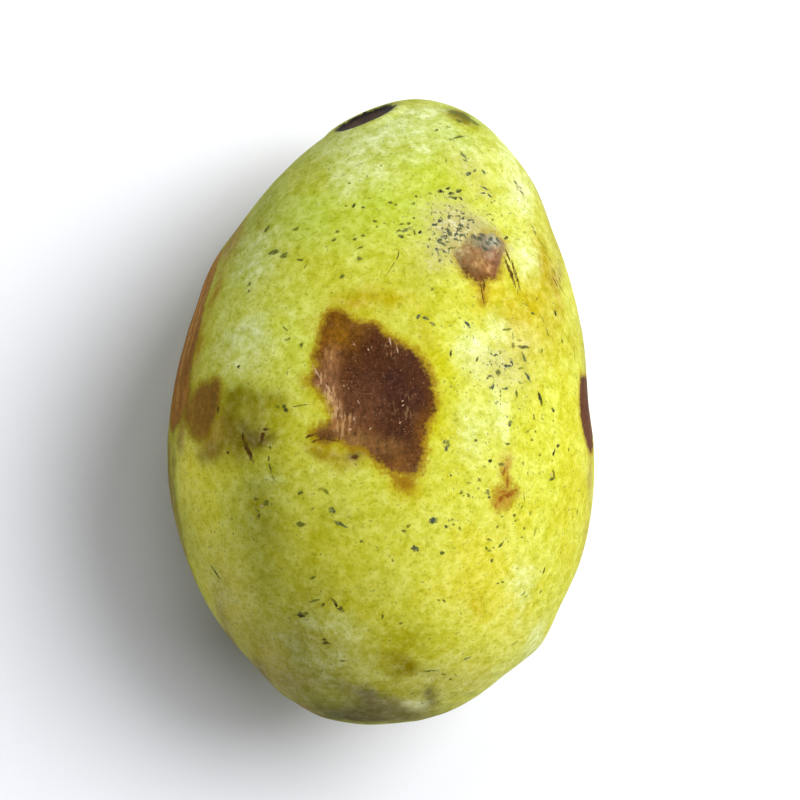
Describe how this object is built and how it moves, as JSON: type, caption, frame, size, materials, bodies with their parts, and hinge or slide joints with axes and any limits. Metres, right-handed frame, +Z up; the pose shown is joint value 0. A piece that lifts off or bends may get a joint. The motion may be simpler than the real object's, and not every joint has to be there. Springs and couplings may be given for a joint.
{
  "type": "pawpaw fruit",
  "caption": "Whole ripe pawpaw: an egg-shaped yellow-green fruit with brown bruises and a dark stem scar, lying on its side.",
  "frame": {"origin": "on the surface the fruit rests on, under the middle of its bounding box", "axes": "+Y towards the slimmer stem end, +Z up from the surface, +X to the right when looking down with the stem end away"},
  "size_m": [0.0676, 0.0992, 0.0625],
  "materials": {
    "ripe_skin": "thin satin fruit skin, yellow-green, with brown bruises and dark flecks"
  },
  "bodies": {
    "root": {"pawpaw_fruit": "ripe_skin"}
  },
  "joints": []
}
